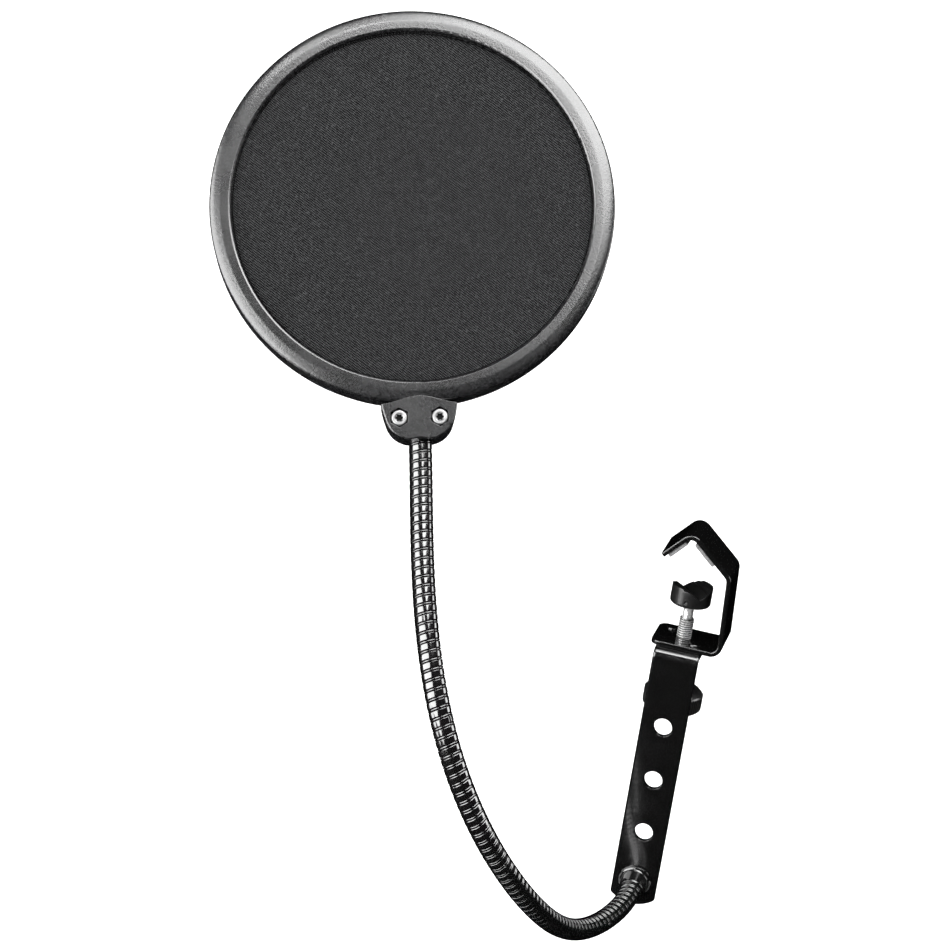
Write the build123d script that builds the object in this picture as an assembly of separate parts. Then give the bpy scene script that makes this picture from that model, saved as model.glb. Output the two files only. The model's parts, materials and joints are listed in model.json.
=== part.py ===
from build123d import *
import os

# Pop filter: a round fabric screen on a gooseneck, carried by a tube clamp.
# Frame: the origin is the middle of the tube that the clamp grips. X runs to the right,
# -Y to the front, where the singer stands, and Z up along the strap. Millimetres.

# ---- driving dimensions ----
RING_R = 100.0            # outside radius of the screen's frame
OPENING_R = 89.3          # radius of its clear opening
HALF_THICK = 8.5          # thickness of one half of the frame
WALL = 2.0                # plastic wall
FABRIC_R = 96.0
FABRIC_THICK = 0.4
FABRIC_TOP = 5.0          # outer face of each fabric above the joint plane
HOOP_THICK = 1.4
LUG_TOP = 96.8            # from the ring's centre to the top of the lug's arched edge
LUG_END = 117.8           # and to its foot
LUG_ROUND = 0.9           # its softened front and rear edges
SCREW_X = 9.9             # the two lug screws stand this far each side of the neck
SCREW_S = 107.3           # and this far below the ring's centre
M4_R = 2.0

TUBE_R = 5.7              # gooseneck
BORE_R = 2.5
LINKS = 24                # rigid links that stand for the wound tube
BALL_GAP = 0.3            # between a link's ball and the next link's socket
NECK_IN_LUG = 14.8
NECK_IN_FERRULE = 8.0

STEEL = 2.5               # thickness of the C bracket
STRAP_THICK = 3.0
EDGE_ROUND = 0.5          # deburred edges of the bent steel
STRAP_WIDTH = 24.2
CLAMP_WIDTH = 30.0
JAW_HEIGHT = 39.0         # from the C bracket's plate up to the gripped tube's middle
HOLE_R = 5.0              # three mounting holes in the strap
HOLE_PITCH = 30.5
FIRST_HOLE = 45.0         # below the plate
STRAP_FRONT = -20.0       # Y of the strap's front face
STRAP_CORNER, STRAP_FOOT = -143.6, -148.2     # its foot's corners and lowest point
FERRULE_LENGTH = 10.0
FERRULE_TILT = 8.0        # degrees that the ferrule points below the level
BOSS_DROP = 135.0         # from the plate down to the ferrule's middle

SCREW_R = 3.95            # M8 clamp screw over its thread
SCREW_GAP = 0.05
PIVOT_R = 2.75            # its plain end, which turns in the pressure cap
KNOB_R = 15.8
CAP_R = 10.8
CAP_TURN = 34.0           # degrees that the cap's groove is turned from the tube's axis

PLATE_Z = -JAW_HEIGHT
BOSS_Z = PLATE_Z - BOSS_DROP

FERRULE_AXIS = Vector(0, -1, 0).rotate(Axis.X, FERRULE_TILT)
MOUTH = Vector(0, STRAP_FRONT, BOSS_Z) + FERRULE_AXIS * FERRULE_LENGTH

# Control points of the Bezier curve that the gooseneck's centre line follows at rest,
# from the ferrule's mouth to the lug.
ROUTE = [
    MOUTH,
    MOUTH + FERRULE_AXIS * 51.3,
    Vector(-45.7, -130.3, -180.9),
    Vector(3.9, -119.1, -136.7),
    Vector(-76.5, -275.8, -97.0),
    Vector(-102.3, -157.1, -17.1),
    Vector(-130.8, -113.8, 71.6),
]
HEAD_FACING = Vector(0.175, -0.862, 0.477)


# ---- the gooseneck's line ----
def joint_points():
    """The ends of the links, evenly spaced along the route."""
    line = Edge.make_bezier(*ROUTE)
    return [line.position_at(i / LINKS) for i in range(LINKS + 1)]


def joint_axes(points):
    """Two hinge directions for each inner joint: fore-and-aft bend, and sideways sway.

    The bend axis starts along X at the ferrule and is carried up the tube without twist.
    """
    axes, bend = [], Vector(1, 0, 0)
    for before, here, after in zip(points, points[1:], points[2:]):
        along = ((here - before).normalized() + (after - here).normalized()).normalized()
        bend = (bend - along * bend.dot(along)).normalized()
        axes.append((bend, along.cross(bend)))
    return axes


def head_plane():
    """The screen's own frame: origin at the ring's centre, z to the front, y up."""
    up = (ROUTE[-1] - ROUTE[-2]).normalized()
    front = (HEAD_FACING - up * HEAD_FACING.dot(up)).normalized()
    return Plane(origin=ROUTE[-1] + up * LUG_END, x_dir=up.cross(front), z_dir=front)


def rod(start, end, radius):
    """A round bar from one point to another."""
    run = end - start
    return Solid.make_cylinder(radius, run.length, Plane(origin=start, z_dir=run))


def ball(centre, radius):
    return Pos(*centre) * Sphere(radius)


def neck_link(points, i):
    """Link i: a hollow bar with a ball at its far end and a socket at its near end."""
    start, end = points[i], points[i + 1]
    body = rod(start, end, TUBE_R)
    if i == 0:
        start = start - FERRULE_AXIS * NECK_IN_FERRULE
        body = body.fuse(rod(start, points[0], TUBE_R))
    if i == LINKS - 1:
        end = end + (ROUTE[-1] - ROUTE[-2]).normalized() * NECK_IN_LUG
        body = body.fuse(rod(points[LINKS], end, TUBE_R))
    else:
        body = body.fuse(ball(end, TUBE_R).solid())
    if i > 0:
        body = body.cut(ball(start, TUBE_R + BALL_GAP).solid())
    overrun = (points[i + 1] - points[i]).normalized() * (2 * TUBE_R)
    body = body.cut(rod(points[i] - overrun, points[i + 1] + overrun, BORE_R))
    if i == LINKS - 1:
        body = body.cut(rod(points[LINKS], end, BORE_R))
    if i == 0:
        body = body.cut(rod(start, points[0], BORE_R))
    return body


def ring_of(inner, outer, low, high):
    """A flat ring between two heights."""
    return Pos(0, 0, low) * extrude(Circle(outer) - Circle(inner), high - low)


# ---- the screen ----
def shell_profile():
    """Section through one half of the frame, in the (radius, height) plane."""
    wall_top = 6.2
    crest, bevel = OPENING_R + 1.2, 1.0
    line = Polyline(
        (OPENING_R, HALF_THICK - bevel), (OPENING_R, FABRIC_TOP),
        (OPENING_R + WALL, FABRIC_TOP), (OPENING_R + WALL, HALF_THICK - WALL),
        (RING_R - WALL - 1.2, HALF_THICK - WALL - 0.9), (RING_R - WALL, wall_top - WALL),
        (RING_R - WALL, 0), (RING_R, 0), (RING_R, wall_top),
    )
    brow = Spline((RING_R, wall_top), (RING_R - 1.1, HALF_THICK - 1.0),
                  (RING_R - 4.6, HALF_THICK - 0.2), (crest, HALF_THICK),
                  tangents=[(-0.15, 1), (-1, 0)])
    lip = RadiusArc((crest, HALF_THICK), (OPENING_R, HALF_THICK - bevel), -1.7)
    return make_face([*line.edges(), brow.edge(), lip.edge()])


def lug_outline():
    """The lug's outline below the ring, with its arched top edge over the ring's face."""
    shoulder, hip, foot = (18.6, -100.5), (16.7, -108.3), (8.0, -LUG_END)
    crown = [(12.1, -99.3), (6.0, -97.6), (0, -LUG_TOP)]
    arch = [(-shoulder[0], shoulder[1])] + [(-x, y) for x, y in crown] + crown[-2::-1] + [shoulder]
    edges = [Spline(*arch, tangents=[(1, 0.05), (1, -0.05)]).edge()]
    for side in (1, -1):
        corner, turn, end = [(side * x, y) for x, y in (shoulder, hip, foot)]
        edges.append(ThreePointArc(corner, (side * 17.85, -104.4), turn).edge())
        edges.append(ThreePointArc(turn, (side * 13.6, -114.2), end).edge())
    edges.append(Line((-foot[0], foot[1]), foot).edge())
    return make_face(edges)


def half_frame(front):
    """One half of the frame in the screen's frame: a ring shell with its half of the lug."""
    ring = revolve(Plane.XZ * shell_profile(), Axis.Z, 360)
    lug = extrude(lug_outline(), HALF_THICK)
    rim = lug.faces().sort_by(Axis.Z)[-1].edges().filter_by(lambda e: e.center().Y < -102)
    lug = fillet(rim, LUG_ROUND)
    body = ring + lug
    # the joint line: a tongue on the front half fits a rebate in the rear half
    at_lug = Pos(0, -LUG_END, 0) * Box(44, 50, 9)
    if front:
        body += ring_of(97.0, 98.4, -1.4, 0) - at_lug
        body += ring_of(97.0, 98.0, 0, 2.0) - at_lug
    else:
        body -= ring_of(97.9, 98.5, -1, 1.5) - at_lug
    # channel for the gooseneck, with a wider seat for the flange of its end plug
    body -= Pos(0, -LUG_END + NECK_IN_LUG / 2, 0) * Rot(X=90) * Cylinder(TUBE_R, NECK_IN_LUG)
    body -= Pos(0, -LUG_END + NECK_IN_LUG + 1.3, 0) * Rot(X=90) * Cylinder(6.9, 2.6)
    for x in (-SCREW_X, SCREW_X):
        body -= Pos(x, -SCREW_S, HALF_THICK / 2) * Cylinder(M4_R + 0.05, 2 * HALF_THICK)
        across = 8.6 if front else 7.1
        depth = 3.0 if front else 3.3
        pocket = extrude(RegularPolygon(across / 2, 6, major_radius=False, rotation=30), depth)
        body -= Pos(x, -SCREW_S, HALF_THICK - depth) * pocket
    return body if front else Rot(Y=180) * body


def lug_screws():
    """Two M4 pan-head screws with six-lobe recesses."""
    seat, head_high, head_r = HALF_THICK - 3.0, 2.4, 4.0
    tip = -HALF_THICK + 0.6
    shank = Pos(0, 0, tip) * extrude(Circle(M4_R), seat - tip)
    head = Pos(0, 0, seat) * extrude(Circle(head_r), head_high)
    head = fillet(head.edges().sort_by(Axis.Z)[-1], 0.9)
    star = Circle(1.5)
    for k in range(6):
        star += Rot(Z=60 * k) * Pos(1.5, 0) * Circle(0.45)
    recess = Pos(0, 0, seat + head_high - 1.7) * extrude(star, 2)
    dish = Pos(0, 0, seat + head_high) * Cone(1.9, 2.9, 0.7)
    one = shank + head - recess - dish
    return [Pos(x, -SCREW_S, 0) * one for x in (-SCREW_X, SCREW_X)]


def lug_nuts():
    """Two M4 nuts in the rear half's hexagon pockets."""
    outline = RegularPolygon(3.5, 6, major_radius=False, rotation=30) - Circle(M4_R + 0.05)
    one = Pos(0, 0, -HALF_THICK + 0.1) * extrude(outline, 3.2)
    return [Pos(x, -SCREW_S, 0) * one for x in (-SCREW_X, SCREW_X)]


def neck_end_plug():
    """The flanged plug in the gooseneck's upper end, which the lug's halves grip."""
    foot = -LUG_END + NECK_IN_LUG
    flange = Pos(0, foot + 1.2, 0) * Rot(X=90) * Cylinder(6.8, 2.4)
    stem = Pos(0, foot - 5, 0) * Rot(X=90) * Cylinder(BORE_R, 10)
    return flange + stem


def screen_parts():
    """Everything in the screen's own frame, before it is put in place."""
    hoop_top = FABRIC_TOP - FABRIC_THICK
    fabric = Pos(0, 0, hoop_top) * extrude(Circle(FABRIC_R), FABRIC_THICK)
    hoop = ring_of(OPENING_R + 0.5, FABRIC_R, hoop_top - HOOP_THICK, hoop_top)
    spacer = hoop_top - HOOP_THICK
    return {
        "front_frame": half_frame(True),
        "rear_frame": half_frame(False),
        "front_fabric": fabric,
        "rear_fabric": Rot(Y=180) * fabric,
        "front_hoop": hoop,
        "rear_hoop": Rot(Y=180) * hoop,
        "spacer_ring": ring_of(92.5, 95.5, -spacer, spacer),
        "neck_end_plug": neck_end_plug(),
        "lug_screws": lug_screws(),
        "lug_nuts": lug_nuts(),
    }


# ---- the clamp, with z counted from the top of the C bracket's plate ----
C_INNER = [(-15.3, 0), (20.3, 0), (18.3, 40.9), (-3.3, 59.6), (-15.8, 45.9)]
RIVETS = [(-7.5, 9.0), (7.5, -9.0)]
RIVET_R = 2.0
JAW_BEND = 4.0


def clamp_bracket():
    """The C bracket: one steel strip bent into a plate, a wall and a V jaw."""
    path = FilletPolyline(*C_INNER, radius=JAW_BEND)
    outline = make_face(offset(path, STEEL, side=Side.RIGHT, closed=True))
    body = extrude(Plane.XZ * outline, CLAMP_WIDTH / 2, both=True)
    upright = body.edges().filter_by(Axis.Z).filter_by(lambda e: e.length < STEEL + 0.1)
    body = fillet(upright.filter_by_position(Axis.X, -16, -15), 5.0)
    rims = body.faces().sort_by(Axis.Y)
    body = fillet(rims[0].edges() + rims[-1].edges(), EDGE_ROUND)
    body -= Pos(0, 0, -STEEL / 2) * Cylinder(SCREW_R + SCREW_GAP, 2 * STEEL)
    for x, y in RIVETS:
        body -= Pos(x, y, -STEEL / 2) * Cylinder(RIVET_R, 2 * STEEL)
    return body


def jaw_pad(corner, far, length, start):
    """A pad on one inner face of the V, from `start` mm off the corner."""
    corner, far = Vector(*corner), Vector(*far)
    along = (far - corner).normalized()
    inward = Vector(-along.Y, along.X)
    if (Vector(0, 30) - corner).dot(inward) < 0:
        inward = inward * -1
    near, end = corner + along * start, corner + along * (start + length)
    thick = 2.2
    face = make_face(Polyline(near, end, end + inward * thick, near + inward * thick, close=True))
    body = extrude(Plane.XZ * face, CLAMP_WIDTH / 2 - 1, both=True)
    return body


def strap_bracket():
    """The strap: a tab under the plate, a bend, and the long drilled strip."""
    top = -STEEL
    profile = FilletPolyline((13.0, top), (STRAP_FRONT, top), (STRAP_FRONT, STRAP_FOOT - 5), radius=5.0)
    outline = make_face(offset(profile, STRAP_THICK, side=Side.LEFT, closed=True))
    body = extrude(Plane.YZ * outline, STRAP_WIDTH / 2, both=True)
    half, corner, low = STRAP_WIDTH / 2, STRAP_CORNER, STRAP_FOOT
    silhouette = make_face([
        *Polyline((half, corner), (half, 5), (-half, 5), (-half, corner)).edges(),
        ThreePointArc((-half, corner), (0, low), (half, corner)).edge(),
    ])
    body &= extrude(Plane.XZ * silhouette, 60, both=True)
    for i in range(3):
        z = -FIRST_HOLE - i * HOLE_PITCH
        body -= Pos(0, STRAP_FRONT, z) * Rot(X=90) * Cylinder(HOLE_R, 4 * STRAP_THICK)
    long_edges = body.edges().filter_by(Axis.Z).filter_by(lambda e: e.length > 100)
    body = fillet(long_edges.filter_by_position(Axis.Y, STRAP_FRONT - 1, STRAP_FRONT + 1), 1.1)
    body -= Pos(0, 0, top - STRAP_THICK / 2) * Cylinder(SCREW_R + SCREW_GAP, 2 * STRAP_THICK)
    for x, y in RIVETS:
        body -= Pos(x, y, top - STRAP_THICK / 2) * Cylinder(RIVET_R, 2 * STRAP_THICK)
    return body


def rivets():
    """Two rivets with low domed heads above and below."""
    grip = STEEL + STRAP_THICK
    head_r, head = 3.4, 1.1
    shank = Pos(0, 0, -grip / 2) * Cylinder(RIVET_R, grip)
    dome = extrude(Circle(head_r), head)
    dome = fillet(dome.edges().sort_by(Axis.Z)[-1], 0.9)
    one = shank + dome + Pos(0, 0, -grip) * Rot(X=180) * dome
    return [Pos(x, y, 0) * one for x, y in RIVETS]


def neck_ferrule():
    """The turned ferrule welded to the strap at a slant, with the weld's fillet round its foot."""
    foot, weld_r, weld_high, bottom_r, mouth_r = -2.0, 8.8, 1.9, 7.3, 6.6
    floor = FERRULE_LENGTH - NECK_IN_FERRULE
    profile = make_face([
        *Polyline((0, foot), (weld_r, foot), (weld_r, 0.2)).edges(),
        ThreePointArc((weld_r, 0.2), (7.75, 0.75), (bottom_r, weld_high)).edge(),
        *Polyline((bottom_r, weld_high), (mouth_r, FERRULE_LENGTH - 0.6),
                  (mouth_r - 0.4, FERRULE_LENGTH), (TUBE_R, FERRULE_LENGTH),
                  (TUBE_R, floor), (0, floor), (0, foot)).edges(),
    ])
    body = revolve(Plane.XZ * profile, Axis.Z, 360)
    body = Pos(0, STRAP_FRONT, -BOSS_DROP) * Rot(X=90 + FERRULE_TILT) * body
    return body - Pos(0, STRAP_FRONT + 10, -BOSS_DROP) * Box(40, 20, 40)


PIVOT_FOOT, THREAD_TOP = 19.0, 11.0      # heights of the cap's foot and the thread's top
KNOB_TOP, KNOB_FOOT = -28.0, -40.0
HEAD_R, HEAD_FOOT, HEAD_TOP = 3.6, 21.9, 23.3
CAP_ROOM = 3.2            # height of the cap's cavity round the pivot's head


def clamp_screw():
    """The M8 screw: a stem in the knob, the thread's envelope, a plain pivot and its head."""
    bars = [(SCREW_R, KNOB_FOOT + 2, THREAD_TOP), (PIVOT_R, THREAD_TOP, HEAD_FOOT),
            (HEAD_R, HEAD_FOOT, HEAD_TOP)]
    body = None
    for radius, low, high in bars:
        bar = Pos(0, 0, low) * extrude(Circle(radius), high - low)
        body = bar if body is None else body + bar
    return chamfer(body.edges().sort_by(Axis.Z)[-1], 0.8)


def clamp_knob():
    """The round fluted knob on the screw's lower end."""
    body = Pos(0, 0, KNOB_FOOT) * extrude(Circle(KNOB_R), KNOB_TOP - KNOB_FOOT)
    body = chamfer(body.edges().filter_by(GeomType.CIRCLE), 1.4)
    flutes = 24
    for k in range(flutes):
        body -= Rot(Z=360 / flutes * k) * Pos(KNOB_R + 0.9, 0, (KNOB_TOP + KNOB_FOOT) / 2) * \
            Cylinder(1.6, 20)
    return body - Pos(0, 0, KNOB_FOOT + 2) * extrude(Circle(SCREW_R), 20)


def pressure_cap():
    """The swivelling cap: a round boss whose ribbed V groove seats on the tube."""
    high = 10.5
    body = Pos(0, 0, PIVOT_FOOT) * extrude(Circle(CAP_R), high)
    body = fillet(body.edges().sort_by(Axis.Z)[0], 1.6)
    out = CAP_R + 1
    flanks = [(-out, high), (-8.9, 10.3), (-7.7, 9.0), (-6.9, 9.4), (-6.0, 8.8), (-5.2, 8.9),
              (0, 5.6), (4.7, 8.6), (5.3, 8.4), (7.2, 9.8), (7.8, 9.6), (8.8, high), (out, high)]
    groove = make_face(Polyline(*flanks, (out, high + 5), (-out, high + 5), close=True))
    body -= Pos(0, 0, PIVOT_FOOT) * Rot(Z=CAP_TURN) * extrude(Plane.XZ * groove, out, both=True)
    body -= Pos(0, 0, PIVOT_FOOT - 1) * extrude(Circle(PIVOT_R + 0.07), 4)
    body -= Pos(0, 0, PIVOT_FOOT + 1.4) * extrude(Circle(4.3), CAP_ROOM)
    dimple = Pos(CAP_R + 0.1, 0, PIVOT_FOOT + 3.3) * Sphere(1.0)
    return body - Rot(Z=-95.5) * dimple


def cap_snap_ring():
    """The wire ring under the pivot's head, which holds the cap on the screw."""
    return Pos(0, 0, 20.5) * extrude(Circle(4.2) - Circle(PIVOT_R + 0.06), 1.1)


def clamp_parts():
    apex, wall_end, tip = C_INNER[3], C_INNER[2], C_INNER[4]
    return {
        "clamp_bracket": clamp_bracket(),
        "strap_bracket": strap_bracket(),
        "rivets": rivets(),
        "jaw_pad_left": jaw_pad(apex, tip, 12.0, 4.4),
        "jaw_pad_right": jaw_pad(apex, wall_end, 14.5, 4.4),
        "neck_ferrule": neck_ferrule(),
        "clamp_screw": clamp_screw(),
        "clamp_knob": clamp_knob(),
        "pressure_cap": pressure_cap(),
        "cap_snap_ring": cap_snap_ring(),
    }


def all_parts():
    """Every node's shape by name, in the part's frame."""
    points = joint_points()
    nodes = {f"neck_link_{i + 1:02d}": neck_link(points, i) for i in range(LINKS)}
    for place, group in ((head_plane().location, screen_parts()),
                         (Pos(0, 0, PLATE_Z), clamp_parts())):
        for name, shape in group.items():
            several = isinstance(shape, list)
            nodes[name] = Compound([place * s for s in shape]) if several else place * shape
    return nodes


if __name__ == "__main__":
    os.makedirs("parts", exist_ok=True)
    for name, shape in all_parts().items():
        export_step(shape, f"parts/{name}.step")
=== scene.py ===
import json
from math import cos, pi, radians, sin, tau

import bmesh
import bpy
from mathutils import Matrix, Vector, noise


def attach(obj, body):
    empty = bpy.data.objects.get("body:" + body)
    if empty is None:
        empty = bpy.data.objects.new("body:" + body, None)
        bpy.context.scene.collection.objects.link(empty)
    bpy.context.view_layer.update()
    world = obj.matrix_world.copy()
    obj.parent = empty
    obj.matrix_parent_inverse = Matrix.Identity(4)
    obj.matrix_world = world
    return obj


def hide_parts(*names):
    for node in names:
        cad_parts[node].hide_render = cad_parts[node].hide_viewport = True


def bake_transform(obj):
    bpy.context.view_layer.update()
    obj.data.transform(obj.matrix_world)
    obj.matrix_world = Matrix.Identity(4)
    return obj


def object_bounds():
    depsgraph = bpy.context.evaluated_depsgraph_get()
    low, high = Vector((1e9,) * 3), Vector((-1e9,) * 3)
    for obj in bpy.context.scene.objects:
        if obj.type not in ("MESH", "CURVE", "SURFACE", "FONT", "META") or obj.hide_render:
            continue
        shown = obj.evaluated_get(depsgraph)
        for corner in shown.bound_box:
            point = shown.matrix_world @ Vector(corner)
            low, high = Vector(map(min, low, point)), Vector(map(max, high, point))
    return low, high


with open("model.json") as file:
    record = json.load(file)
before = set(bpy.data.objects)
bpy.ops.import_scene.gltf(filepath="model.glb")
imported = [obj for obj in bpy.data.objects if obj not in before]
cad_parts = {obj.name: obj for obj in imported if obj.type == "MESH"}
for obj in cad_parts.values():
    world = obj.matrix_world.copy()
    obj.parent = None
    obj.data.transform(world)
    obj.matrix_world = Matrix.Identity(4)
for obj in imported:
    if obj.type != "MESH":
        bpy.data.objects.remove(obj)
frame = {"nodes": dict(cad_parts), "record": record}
CAD_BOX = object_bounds()
CAD_BOX_MIDDLE = (Vector(CAD_BOX[0]) + Vector(CAD_BOX[1])) / 2
RECORD = frame["record"]
MM = 0.001

# The gooseneck's centre line: the control points of its Bezier curve, as in the CAD source.
ROUTE = [Vector(p) * MM for p in (
    (0, -29.9027, -175.3917), (0, -80.7034, -182.5313), (-45.7, -130.3, -180.9),
    (3.9, -119.1, -136.7), (-76.5, -275.8, -97.0), (-102.3, -157.1, -17.1),
    (-130.8, -113.8, 71.6))]
LINKS = 24
TUBE_R = 5.7 * MM      # the gooseneck's outer radius
PITCH = 4.5 * MM       # its winding's rise per turn
PLATE_Z = -39 * MM     # the top of the clamp's plate

# The head's plane: the ring's centre, its front-facing axis and its upward axis.
HEAD_CENTRE = Vector((-163.479, -64.1513, 173.305)) * MM
HEAD_FACING = Vector((0.174889, -0.861475, 0.476733))
HEAD_UP = Vector((-0.277408, 0.421466, 0.863372))
HEAD_RIGHT = HEAD_UP.cross(HEAD_FACING)

# Values that several materials share.
BLACK_PLASTIC = (0.008, 0.008, 0.009)
BRUSHING = 1800        # noise scale of the marks in bright plate, per metre
BEVEL_SAMPLES = 6


# ---------------------------------------------------------------- shader helpers
def material(name, color, roughness, metallic=0.0):
    """A new Principled material, with its node tree and its shader."""
    mat = bpy.data.materials.new(name)
    mat.use_nodes = True
    tree = mat.node_tree
    bsdf = tree.nodes["Principled BSDF"]
    bsdf.inputs["Base Color"].default_value = (*color, 1)
    bsdf.inputs["Roughness"].default_value = roughness
    bsdf.inputs["Metallic"].default_value = metallic
    return mat, tree, bsdf


def add(tree, kind, **values):
    """Adds a shader node; values set its inputs or, failing that, its properties."""
    node = tree.nodes.new("ShaderNode" + kind)
    for key, value in values.items():
        label = key.replace("_", " ")
        if label in node.inputs:
            node.inputs[label].default_value = value
        else:
            setattr(node, key, value)
    return node


def ramp(tree, source, stops):
    """A colour ramp over a 0-1 value; stops are (position, grey level or colour)."""
    node = tree.nodes.new("ShaderNodeValToRGB")
    elements = node.color_ramp.elements
    while len(elements) < len(stops):
        elements.new(0.5)
    for element, (at, level) in zip(elements, stops):
        element.position = at
        element.color = (level, level, level, 1) if isinstance(level, (int, float)) else (*level, 1)
    tree.links.new(source, node.inputs["Fac"])
    return node.outputs["Color"]


def grain(tree, scale, detail=3.0):
    """Noise in object space, which is in metres: its 0-1 output."""
    where = tree.nodes.new("ShaderNodeTexCoord")
    node = add(tree, "TexNoise", Scale=scale, Detail=detail)
    tree.links.new(where.outputs["Object"], node.inputs["Vector"])
    return node.outputs["Fac"]


def bump(tree, bsdf, height, strength, distance, edges=None):
    """Feeds a height value into the shader's normal, over the rounded edges if there are any."""
    node = add(tree, "Bump", Strength=strength, Distance=distance)
    tree.links.new(height, node.inputs["Height"])
    if edges is not None:
        tree.links.new(edges.outputs["Normal"], node.inputs["Normal"])
    tree.links.new(node.outputs["Normal"], bsdf.inputs["Normal"])


def rounded(tree, radius_mm):
    """Shades sharp edges as if rounded, so that they catch the light; the mesh doesn't change."""
    node = add(tree, "Bevel", Radius=radius_mm * MM)
    node.samples = BEVEL_SAMPLES
    return node


def between(tree, value, low, high):
    """Where a value lies from low to high, as 0 to 1."""
    node = add(tree, "MapRange")
    tree.links.new(value, node.inputs["Value"])
    node.inputs["From Min"].default_value, node.inputs["From Max"].default_value = low, high
    return node.outputs["Result"]


def frame_plastic():
    """Satin black ABS with a fine eroded grain."""
    mat, tree, bsdf = material("frame_plastic", BLACK_PLASTIC, 0.34)
    bsdf.inputs["IOR"].default_value = 1.85
    fine, broad = grain(tree, 1000, 3.0), grain(tree, 45)
    pit, crest = (0.001, 0.001, 0.0011), (0.018, 0.018, 0.019)
    tree.links.new(ramp(tree, fine, [(0.4, pit), (0.68, crest)]), bsdf.inputs["Base Color"])
    tree.links.new(ramp(tree, broad, [(0.3, 0.24), (0.7, 0.3)]), bsdf.inputs["Roughness"])
    bump(tree, bsdf, fine, 0.3, 0.0002, rounded(tree, 0.4))
    return mat


def hoop_plastic():
    """Plain black ABS, a little mottled."""
    mat, tree, bsdf = material("hoop_plastic", BLACK_PLASTIC, 0.5)
    fine = grain(tree, 900)
    tree.links.new(ramp(tree, fine, [(0.3, 0.005), (0.7, 0.012)]), bsdf.inputs["Base Color"])
    bump(tree, bsdf, fine, 0.2, 0.0001)
    return mat


def screen_fabric():
    """Charcoal nylon: a fine diagonal twill from two crossed thread waves, in the disc's own mm."""
    mat, tree, bsdf = material("screen_fabric", (0.02, 0.02, 0.022), 0.85)
    uv = tree.nodes.new("ShaderNodeTexCoord")
    thread = []
    warp, weft = (38, 0.42), (-52, 0.30)        # turn in degrees, wave scale per mm
    for turn, scale in (warp, weft):
        place = add(tree, "Mapping")
        place.inputs["Rotation"].default_value = (0, 0, radians(turn))
        wave = add(tree, "TexWave", Scale=scale, Distortion=1.2, Detail=2.0)
        wave.inputs["Detail Scale"].default_value = 1.5
        tree.links.new(uv.outputs["UV"], place.inputs["Vector"])
        tree.links.new(place.outputs["Vector"], wave.inputs["Vector"])
        thread.append(wave.outputs["Fac"])
    weave = add(tree, "Math", operation="MULTIPLY")
    tree.links.new(thread[0], weave.inputs[0])
    tree.links.new(thread[1], weave.inputs[1])
    fleck = grain(tree, 900, 4.0)
    both = add(tree, "Math", operation="MULTIPLY_ADD")
    tree.links.new(fleck, both.inputs[0])
    both.inputs[1].default_value = 1.3
    tree.links.new(weave.outputs[0], both.inputs[2])
    hole, yarn, lint = (0.0003, 0.0003, 0.0004), (0.003, 0.0031, 0.0033), (0.042, 0.043, 0.044)
    tree.links.new(ramp(tree, both.outputs[0], [(0.55, hole), (0.88, yarn), (1.0, lint)]),
                   bsdf.inputs["Base Color"])
    bsdf.inputs["Specular IOR Level"].default_value = 0.06
    bsdf.inputs["Sheen Weight"].default_value = 0.01
    bsdf.inputs["Sheen Roughness"].default_value = 0.5
    bump(tree, bsdf, both.outputs[0], 0.5, 0.0002)
    return mat


def gloss_black(name, level, roughness, ior, coat, edge=0):
    """Black lacquer over steel with a trace of orange peel and fine scuffs; edge is in mm."""
    mat, tree, bsdf = material(name, (level, level, level), roughness)
    bsdf.inputs["IOR"].default_value = ior
    bsdf.inputs["Coat Weight"].default_value = coat
    bsdf.inputs["Coat Roughness"].default_value = 0.06
    broad, fine = grain(tree, 90), grain(tree, 1400, 4.0)
    tree.links.new(ramp(tree, broad, [(0.35, roughness), (0.7, roughness + 0.1)]),
                   bsdf.inputs["Roughness"])
    tree.links.new(ramp(tree, fine, [(0.4, level * 0.7), (0.8, level * 1.8)]),
                   bsdf.inputs["Base Color"])
    bump(tree, bsdf, grain(tree, 500, 2.0), 0.06, 0.0001, rounded(tree, edge) if edge else None)
    return mat


def steel(name, level, roughness):
    """Bright zinc plate with faint brushing."""
    mat, tree, bsdf = material(name, (level, level, level * 1.02), roughness, 1.0)
    fine = grain(tree, BRUSHING, 4.0)
    tree.links.new(ramp(tree, fine, [(0.3, level * 0.75), (0.75, level)]),
                   bsdf.inputs["Base Color"])
    tree.links.new(ramp(tree, grain(tree, 500), [(0.3, roughness * 0.8), (0.7, roughness * 1.4)]),
                   bsdf.inputs["Roughness"])
    bump(tree, bsdf, fine, 0.1, 0.00005)
    return mat


def recessed_steel():
    """The lug screws' zinc plate. Its colour darkens with depth, for shade in the recesses."""
    mat, tree, bsdf = material("lug_steel", (0.3, 0.3, 0.31), 0.36, 0.75)
    deep, face = 6.4, 7.9                       # mm from the ring's middle plane
    where = tree.nodes.new("ShaderNodeTexCoord")
    depth = add(tree, "VectorMath", operation="DOT_PRODUCT")
    tree.links.new(where.outputs["Object"], depth.inputs[0])
    depth.inputs[1].default_value = tuple(HEAD_FACING / MM)
    level = add(tree, "Math", operation="SUBTRACT")
    tree.links.new(depth.outputs["Value"], level.inputs[0])
    level.inputs[1].default_value = HEAD_CENTRE.dot(HEAD_FACING) / MM
    far = add(tree, "Math", operation="ABSOLUTE")
    tree.links.new(level.outputs[0], far.inputs[0])
    painted_shade_levels = [(0.0, 0.004), (0.35, 0.02), (0.55, 0.12), (0.8, 0.24), (1.0, 0.42)]
    tree.links.new(ramp(tree, between(tree, far.outputs[0], deep, face), painted_shade_levels),
                   bsdf.inputs["Base Color"])
    bump(tree, bsdf, grain(tree, BRUSHING, 4.0), 0.12, 0.00006)
    return mat


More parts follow.
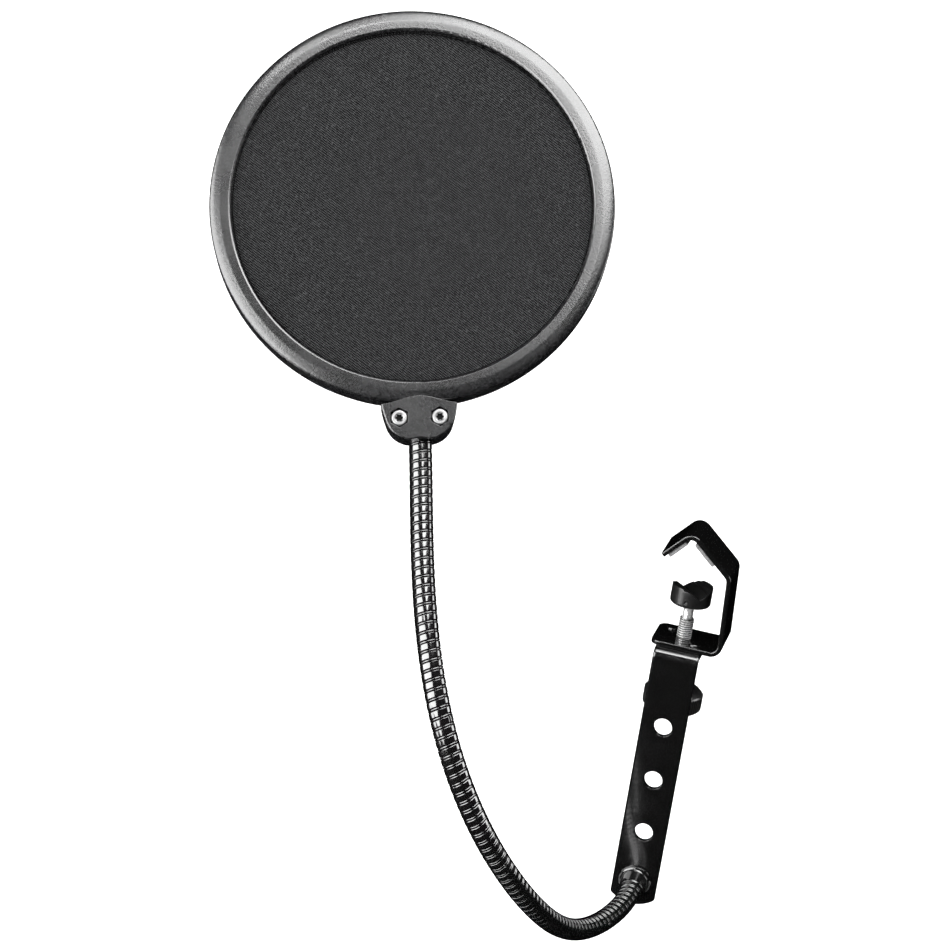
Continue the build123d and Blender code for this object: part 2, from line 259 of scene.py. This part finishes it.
def thread_steel():
    """Bright zinc thread, with painted shade: darker colour at the roots, by distance from the
    screw's axis.
    """
    mat, tree, bsdf = material("zinc_steel", (0.6, 0.6, 0.61), 0.28, 0.6)
    inner, outer = 2.6, 3.95                    # mm from the screw's axis
    where = tree.nodes.new("ShaderNodeTexCoord")
    flat = add(tree, "VectorMath", operation="MULTIPLY")
    tree.links.new(where.outputs["Object"], flat.inputs[0])
    flat.inputs[1].default_value = (1 / MM, 1 / MM, 0)
    length = add(tree, "VectorMath", operation="LENGTH")
    tree.links.new(flat.outputs["Vector"], length.inputs[0])
    # Painted shade: the colour drops at the thread's roots and is lighter towards the crests.
    painted_shade_levels = [(0.0, 0.75), (0.3, 0.75), (0.42, 0.14), (0.6, 0.3), (0.9, 0.95)]
    tree.links.new(ramp(tree, between(tree, length.outputs["Value"], inner, outer), painted_shade_levels),
                   bsdf.inputs["Base Color"])
    tree.links.new(ramp(tree, grain(tree, 600), [(0.3, 0.16), (0.7, 0.3)]),
                   bsdf.inputs["Roughness"])
    bump(tree, bsdf, grain(tree, BRUSHING, 4.0), 0.1, 0.00005)
    return mat


def rough_grey(name, dark, light, scale, height):
    """A matt, uneven grey surface, such as foam or a painted weld."""
    mat, tree, bsdf = material(name, (light, light, light), 0.88)
    fine = grain(tree, scale, 5.0)
    tree.links.new(ramp(tree, fine, [(0.3, dark), (0.7, light)]), bsdf.inputs["Base Color"])
    bump(tree, bsdf, fine, 0.6, height)
    return mat


def knob_plastic():
    """Satin black moulded plastic, for the knob and the pressure cap."""
    mat, tree, bsdf = material("knob_plastic", BLACK_PLASTIC, 0.3)
    bsdf.inputs["IOR"].default_value = 1.65
    tree.links.new(ramp(tree, grain(tree, 1200, 3.0), [(0.35, 0.003), (0.8, 0.014)]),
                   bsdf.inputs["Base Color"])
    bump(tree, bsdf, grain(tree, 700), 0.2, 0.0002, rounded(tree, 0.5))
    return mat


def dress(mesh, mat):
    """Gives a mesh one material."""
    mesh.materials.clear()
    mesh.materials.append(mat)


MATS = {
    "frame_plastic": frame_plastic(),
    "hoop_plastic": hoop_plastic(),
    "screen_fabric": screen_fabric(),
    "bare_steel": steel("bare_steel", 0.5, 0.26),
    "black_lacquer": gloss_black("black_lacquer", 0.003, 0.12, 1.6, 1.0, edge=0.9),
    "jaw_pad": rough_grey("jaw_pad", 0.07, 0.24, 1500, 0.0003),
    "zinc_steel": thread_steel(),
    "knob_plastic": knob_plastic(),
    "neck_steel": gloss_black("neck_steel", 0.004, 0.12, 1.85, 1.0),
}
LUG = recessed_steel()
WELD = rough_grey("weld_bead", 0.008, 0.08, 2200, 0.0005)
for part in RECORD["subparts"]:
    dress(frame["nodes"][part["node"]].data, MATS[part["material_slot"]])
for name in ("lug_screws", "lug_nuts"):
    frame["nodes"][name].data.materials[0] = LUG


# ---------------------------------------------------------------- mesh helpers
def piece(name, verts, faces, slot, smooth=True):
    """A mesh object with its slot's material; its vertices are in the part's frame."""
    mesh = bpy.data.meshes.new(name)
    mesh.from_pydata([tuple(v) for v in verts], [], faces)
    bm = bmesh.new()
    bm.from_mesh(mesh)
    bmesh.ops.recalc_face_normals(bm, faces=bm.faces)
    bm.to_mesh(mesh)
    bm.free()
    mesh.polygons.foreach_set("use_smooth", [smooth] * len(mesh.polygons))
    mesh.materials.append(MATS[slot])
    obj = bpy.data.objects.new(name, mesh)
    bpy.context.scene.collection.objects.link(obj)
    return obj


def sweep(rings, close_ends=True):
    """Vertices and faces of a tube through equal closed rings of points."""
    count = len(rings[0])
    verts = [v for ring in rings for v in ring]
    faces = []
    for i in range(len(rings) - 1):
        a, b = i * count, (i + 1) * count
        faces += [(a + j, a + (j + 1) % count, b + (j + 1) % count, b + j) for j in range(count)]
    if close_ends:
        faces += [tuple(range(count)), tuple(range(len(verts) - 1, len(verts) - count - 1, -1))]
    return verts, faces


def bezier(t, points=ROUTE):
    """A point on the Bezier curve, by de Casteljau's rule."""
    while len(points) > 1:
        points = [a.lerp(b, t) for a, b in zip(points, points[1:])]
    return points[0]


def route_frames(steps=4000):
    """Arc length, place, tangent and untwisted side vector at even steps of the neck's curve."""
    places = [bezier(i / steps) for i in range(steps + 1)]
    length, side, out = 0.0, Vector((1, 0, 0)), []
    for i, here in enumerate(places):
        ahead, behind = places[min(i + 1, steps)], places[max(i - 1, 0)]
        along = (ahead - behind).normalized()
        side = (side - along * side.dot(along)).normalized()
        if i:
            length += (here - places[i - 1]).length
        out.append((length, here, along, side))
    return out


FRAMES = route_frames()
NECK_LENGTH = FRAMES[-1][0]


def on_neck(distance):
    """Place, tangent, side and third axis at a distance along the neck, or just past its ends."""
    if distance <= 0 or distance >= NECK_LENGTH:
        at_start = distance <= 0
        end, over = (FRAMES[0], distance) if at_start else (FRAMES[-1], distance - NECK_LENGTH)
        place, along, side = end[1] + end[2] * over, end[2], end[3]
        return place, along, side, along.cross(side)
    low, high = 0, len(FRAMES) - 1
    while high - low > 1:
        mid = (low + high) // 2
        low, high = (mid, high) if FRAMES[mid][0] <= distance else (low, mid)
    a, b = FRAMES[low], FRAMES[high]
    mix = (distance - a[0]) / (b[0] - a[0])
    along = a[2].lerp(b[2], mix).normalized()
    side = a[3].lerp(b[3], mix)
    side = (side - along * side.dot(along)).normalized()
    return a[1].lerp(b[1], mix), along, side, along.cross(side)


# ---------------------------------------------------------------- the gooseneck's windings
BAND_HALF, FOOT_HALF = 1.58 * MM, 1.88 * MM
FOOT_R, STEP_R, SHOULDER = 4.1 * MM, 4.4 * MM, 0.3 * MM


def band_section():
    """The profiled strip: (along, radius) points, with a crowned top and a foot under the wire."""
    crown = [(x * BAND_HALF, TUBE_R - 0.02 * MM * x * x)
             for x in (-0.79, -0.75, -0.3, 0.3, 0.75, 0.79)]
    left = [(-FOOT_HALF, FOOT_R), (-FOOT_HALF, STEP_R), (-BAND_HALF, STEP_R + 0.05 * MM),
            (-BAND_HALF, TUBE_R - SHOULDER), (-BAND_HALF + 0.09 * MM, TUBE_R - 0.12 * MM),
            (-BAND_HALF + SHOULDER, TUBE_R - 0.03 * MM)]
    right = [(-x, r) for x, r in reversed(left)]
    return left + crown + right


def wire_section(sides=10):
    """The thin round wire between the strip's turns."""
    radius, middle = 0.6 * MM, 5.06 * MM
    return [(PITCH / 2 + radius * cos(tau * k / sides), middle + radius * sin(tau * k / sides))
            for k in range(sides)]


def winding(section, start, end, per_turn=44):
    """Rings of a section wound on the neck between two distances; the helix is right-handed."""
    first, last = round(start / PITCH * per_turn), round(end / PITCH * per_turn)
    rings = []
    for step in range(first, last + 1):
        turn = tau * step / per_turn
        ring = []
        for offset, radius in section:
            place, along, side, up = on_neck(step / per_turn * PITCH + offset)
            ring.append(place + (side * cos(turn) + up * sin(turn)) * radius)
        rings.append(ring)
    return rings


def neck_pieces():
    """Band and wire, cut at the middle of each link; each inner piece spans the joint between two
    links.
    """
    link = NECK_LENGTH / LINKS
    names = [f"neck_link_{i + 1:02d}" for i in range(LINKS)]
    body_of = {n: b for b, ns in RECORD["behaviour"]["bodies"].items() for n in ns}
    in_ferrule, in_lug = 5 * MM, 12 * MM
    for k in range(LINKS + 1):
        low = -in_ferrule if k == 0 else (k - 0.5) * link
        high = NECK_LENGTH + in_lug if k == LINKS else (k + 0.5) * link
        for kind, section in (("band", band_section()), ("wire", wire_section())):
            verts, faces = sweep(winding(section, low, high))
            obj = piece(f"neck_{kind}_{k:02d}", verts, faces, "neck_steel")
            if 0 < k < LINKS:
                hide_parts(names[k - 1], names[k])
                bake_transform(obj)
            else:
                last = names[0] if k == 0 else names[-1]
                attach(obj, body_of[last])
                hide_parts(last)


neck_pieces()


# ---------------------------------------------------------------- the fabric discs
def head_point(x, y, z):
    """A point in the head's plane: right, up and towards its front, from its centre."""
    return HEAD_CENTRE + HEAD_RIGHT * x + HEAD_UP * y + HEAD_FACING * z


def fabric_disc(name, side, node):
    """One layer of fabric on its hoop: a taut disc, a little slack near its middle."""
    radius, height, around, across = 95.9 * MM, 4.8 * MM, 160, 48
    free_radius, depth, waves = 89 * MM, 0.18 * MM, 24
    verts, at = [head_point(0, 0, side * height)], [(0.0, 0.0)]
    for ring in range(1, across + 1):
        r = radius * ring / across
        for k in range(around):
            x, y = r * cos(tau * k / around), r * sin(tau * k / around)
            free = max(0.0, 1 - (r / free_radius) ** 4)
            slack = depth * free * noise.noise(Vector((x, y, side)) * waves)
            verts.append(head_point(x, y, side * height + slack))
            at.append((x / MM, y / MM))
    faces = [(0, 1 + k, 1 + (k + 1) % around) for k in range(around)]
    for ring in range(1, across):
        a, b = 1 + (ring - 1) * around, 1 + ring * around
        faces += [(a + k, b + k, b + (k + 1) % around, a + (k + 1) % around) for k in range(around)]
    obj = piece(name, verts, faces, "screen_fabric")
    layer = obj.data.uv_layers.new(name="mm")
    for loop in obj.data.loops:
        layer.data[loop.index].uv = at[loop.vertex_index]
    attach(obj, "screen")
    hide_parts(node)


def fabric_bead(name, side):
    """The faint ridge where the fabric is glued round its hoop's inner edge."""
    radius, height, thick, around, sides = 88.6 * MM, 4.85 * MM, 0.22 * MM, 240, 8
    rings = []
    for k in range(around + 1):
        a = tau * k / around
        ring = []
        for j in range(sides):
            b = tau * j / sides
            out = radius + thick * cos(b)
            ring.append(head_point(out * cos(a), out * sin(a), side * (height + thick * sin(b))))
        rings.append(ring)
    obj = piece(name, *sweep(rings, close_ends=False), "screen_fabric")
    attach(obj, "screen")


for word, side in (("front", 1), ("rear", -1)):
    fabric_disc(f"{word}_screen", side, f"{word}_fabric")
    fabric_bead(f"{word}_bead", side)


# ---------------------------------------------------------------- the clamp's pieces
def screw_thread():
    """The clamp screw's right-handed M8 thread."""
    pitch, low, high, per_turn = 1.25 * MM, -30.0 * MM, 11.0 * MM, 36
    crest, root = 3.95 * MM, 3.25 * MM
    # Each turn's profile: (height in pitches, radius).
    section = [(-0.5, root), (-0.36, root), (-0.07, crest),
               (0.07, crest), (0.36, root), (0.5, root)]
    rings = []
    for step in range(round((high - low) / pitch * per_turn) + 1):
        turn = tau * step / per_turn
        z = low + pitch * step / per_turn
        rings.append([Vector((cos(turn) * r, sin(turn) * r, PLATE_Z + min(z + at * pitch, high)))
                      for at, r in section])
    rows = len(section)
    verts = [v for ring in rings for v in ring]
    faces = [(i * rows + j, (i + 1) * rows + j, (i + 1) * rows + j + 1, i * rows + j + 1)
             for i in range(len(rings) - 1) for j in range(rows - 1)]
    obj = piece("screw_thread", verts, faces, "zinc_steel", smooth=False)
    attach(obj, "screw")
    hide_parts("clamp_screw")


def lathe(name, profile, slot, ripple=None, around=96):
    """A turned piece about the screw's axis, from (radius, height over the plate) points in mm.

    ripple(angle, height) is added to the radius.
    """
    rings = []
    for k in range(around):
        a = tau * k / around
        rings.append([Vector((cos(a), sin(a), 0)) * ((r + (ripple(a, z) if ripple else 0)) * MM)
                      + Vector((0, 0, PLATE_Z + z * MM)) for r, z in profile])
    rows = len(profile)
    verts = [v for ring in rings for v in ring]
    faces = []
    for k in range(around):
        a, b = k * rows, (k + 1) % around * rows
        faces += [(a + j, b + j, b + j + 1, a + j + 1) for j in range(rows - 1)]
    faces += [tuple(k * rows + end for k in range(around)) for end in (0, rows - 1)]
    return piece(name, verts, faces, slot)


def screw_pivot():
    """The clamp screw's plain upper end, with the head that carries the pressure cap."""
    profile = [(0.6, 10.9), (3.4, 10.9), (3.4, 11.05), (2.75, 11.5), (2.75, 21.9),
               (3.6, 21.9), (3.6, 22.6), (2.9, 23.3), (0.6, 23.3)]
    obj = lathe("screw_pivot", profile, "zinc_steel")
    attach(obj, "screw")
    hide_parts("clamp_screw")


def knob():
    """The round knob: a chamfered shoulder over a band of fine flutes."""
    flutes, depth, flute_low, flute_high = 60, 0.42, -38.9, -30.9

    def ripple(angle, z):
        if not flute_low < z < flute_high:
            return 0.0
        return -depth * (0.5 - 0.5 * cos(angle * flutes)) ** 1.5

    profile = [(3.0, -28.0), (11.6, -28.0), (12.6, -28.15), (13.9, -29.0),
               (15.0, -30.0), (15.3, -30.3), (15.3, -30.6), (15.75, -30.85),
               (15.75, -31.2), (15.75, -33.6), (15.75, -36.2), (15.7, -38.4),
               (15.5, -38.8), (14.6, -39.6), (13.2, -40.0), (3.0, -40.0)]
    obj = lathe("fluted_knob", profile, "knob_plastic", ripple, around=flutes * 10)
    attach(obj, "screw")
    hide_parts("clamp_knob")


def weld():
    """The rough weld bead round the upper side of the ferrule's foot."""
    centre = Vector((0, -20.0, -174.0)) * MM
    start, arc = -35, 250                       # degrees round the ferrule
    foot_radius, proud = 8.15 * MM, 0.2 * MM
    steps, sides, rings = 150, 12, []
    for k in range(steps + 1):
        a = radians(start + arc * k / steps)
        out = Vector((cos(a), 0, sin(a)))
        swell = 0.65 + 0.35 * noise.noise(Vector((k * 0.16, 1.7, 0.3)))
        taper = min(1.0, 6 * k / steps, 6 * (steps - k) / steps) ** 0.5
        ring = []
        for j in range(sides):
            b = tau * j / sides
            rough = 1 + 0.28 * noise.noise(Vector((cos(a), sin(a), b)) * 9.0)
            thick = max(0.05, swell * taper) * rough * MM
            forward = Vector((0, -proud - thick * sin(b), 0))
            ring.append(centre + out * (foot_radius + thick * cos(b)) + forward)
        rings.append(ring)
    obj = piece("weld_bead", *sweep(rings), "black_lacquer")
    dress(obj.data, WELD)
    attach(obj, "clamp")


def pad(name, node):
    """A jaw pad: its CAD solid remeshed, with an uneven face and softened edges."""
    voxel, relief, lumps, inset = 0.35 * MM, 0.12 * MM, 260, 0.08 * MM
    obj = bpy.data.objects.new(name, frame["nodes"][node].data.copy())
    bpy.context.scene.collection.objects.link(obj)
    remesh = obj.modifiers.new("remesh", "REMESH")
    remesh.mode, remesh.voxel_size, remesh.use_smooth_shade = "VOXEL", voxel, True
    smooth = obj.modifiers.new("smooth", "SMOOTH")
    smooth.factor, smooth.iterations = 0.5, 6
    mesh = bpy.data.meshes.new_from_object(obj.evaluated_get(bpy.context.evaluated_depsgraph_get()))
    obj.modifiers.clear()
    obj.data = mesh
    for v in mesh.vertices:
        v.co += v.normal * (relief * noise.noise(v.co * lumps) - inset)
    mesh.polygons.foreach_set("use_smooth", [True] * len(mesh.polygons))
    dress(mesh, MATS["jaw_pad"])
    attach(obj, "clamp")
    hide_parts(node)


screw_thread()
screw_pivot()
knob()
weld()
pad("pad_left", "jaw_pad_left")
pad("pad_right", "jaw_pad_right")


# ---------------------------------------------------------------- stage
# Name, degrees to the right of the front, degrees up, metres away, (width, height) and radiance.
LIGHTS = (
    ("key_left", -40, 14, 1.6, (1.8, 1.35), 7.5),
    ("high_right", 62, 66, 1.4, (1.4, 0.9), 9.0),
    ("rim_right", 111, 10, 1.4, (0.6, 0.7), 5.0),
    ("low_left", -52, -20, 0.55, (0.26, 0.2), 6.0),
    ("top", -20, 80, 1.5, (0.4, 0.35), 4.0),
    ("front_strip", -22, 60, 1.5, (0.5, 0.12), 18.0),
)
FLOOR_DROP = 0.7       # metres from the object's lowest point down to the floor


def area_light(name, azimuth, elevation, distance, size, radiance):
    """A soft rectangle facing the object, hidden from the camera."""
    target = CAD_BOX_MIDDLE
    a, e = radians(azimuth), radians(elevation)
    place = target + Vector((sin(a) * cos(e), -cos(a) * cos(e), sin(e))) * distance
    data = bpy.data.lights.new(name, "AREA")
    data.shape, data.size, data.size_y = "RECTANGLE", size[0], size[1]
    data.energy = radiance * pi * size[0] * size[1]
    obj = bpy.data.objects.new(name, data)
    obj.location = place
    obj.rotation_euler = (target - place).to_track_quat("-Z", "Y").to_euler()
    obj.visible_camera = False
    bpy.context.scene.collection.objects.link(obj)


def stage():
    """A white, self-lit floor that sweeps up behind the object, six soft lights and a white world.

    Glossy rays don't see the floor or the world, so shiny parts reflect the lights alone.
    """
    floor_z = Vector(CAD_BOX[0]).z - FLOOR_DROP
    front_y, back_y, top_z, wide, bend, steps = -6.0, 2.4, 7.0, 8.0, 1.0, 16
    profile = [(front_y, 0.0), (back_y - bend, 0.0)]
    for k in range(1, steps + 1):
        a = radians(90 * k / steps)
        profile.append((back_y - bend + bend * sin(a), bend - bend * cos(a)))
    profile.append((back_y, top_z))
    verts = [(x, y, floor_z + z) for y, z in profile for x in (-wide, wide)]
    faces = [(2 * i, 2 * i + 1, 2 * i + 3, 2 * i + 2) for i in range(len(profile) - 1)]
    mesh = bpy.data.meshes.new("floor")
    mesh.from_pydata(verts, [], faces)
    mesh.polygons.foreach_set("use_smooth", [True] * len(mesh.polygons))
    mat, _, bsdf = material("floor_paper", (0.86, 0.86, 0.86), 0.95)
    bsdf.inputs["Specular IOR Level"].default_value = 0.0
    bsdf.inputs["Emission Color"].default_value = (1, 1, 1, 1)
    bsdf.inputs["Emission Strength"].default_value = 0.85
    mesh.materials.append(mat)
    floor = bpy.data.objects.new("floor", mesh)
    floor.visible_glossy = False
    bpy.context.scene.collection.objects.link(floor)
    for light in LIGHTS:
        area_light(*light)
    world = bpy.data.worlds.new("studio")
    world.use_nodes = True
    background = world.node_tree.nodes["Background"]
    background.inputs["Color"].default_value = (1, 1, 1, 1)
    background.inputs["Strength"].default_value = 1.0
    world.cycles_visibility.glossy = False
    world.cycles_visibility.diffuse = False
    bpy.context.scene.world = world
    bpy.context.scene.view_settings.view_transform = "Standard"


def camera():
    """The viewpoint: a long lens a little right of the front and above."""
    data = bpy.data.cameras.new("camera")
    data.sensor_width, data.lens, data.clip_end = 36.0, 107.7, 50.0
    obj = bpy.data.objects.new("camera", data)
    back = Vector((0.1905, -0.933, 0.3052)).normalized()
    right = Vector((0.9586, 0.2438, 0.1471))
    right = (right - back * right.dot(back)).normalized()
    up = back.cross(right)
    pose = Matrix((right, up, back)).transposed().to_4x4()
    pose.translation = Vector((0.1621, -1.4038, 0.4828))
    obj.matrix_world = pose
    bpy.context.scene.collection.objects.link(obj)
    bpy.context.scene.camera = obj


stage()
camera()
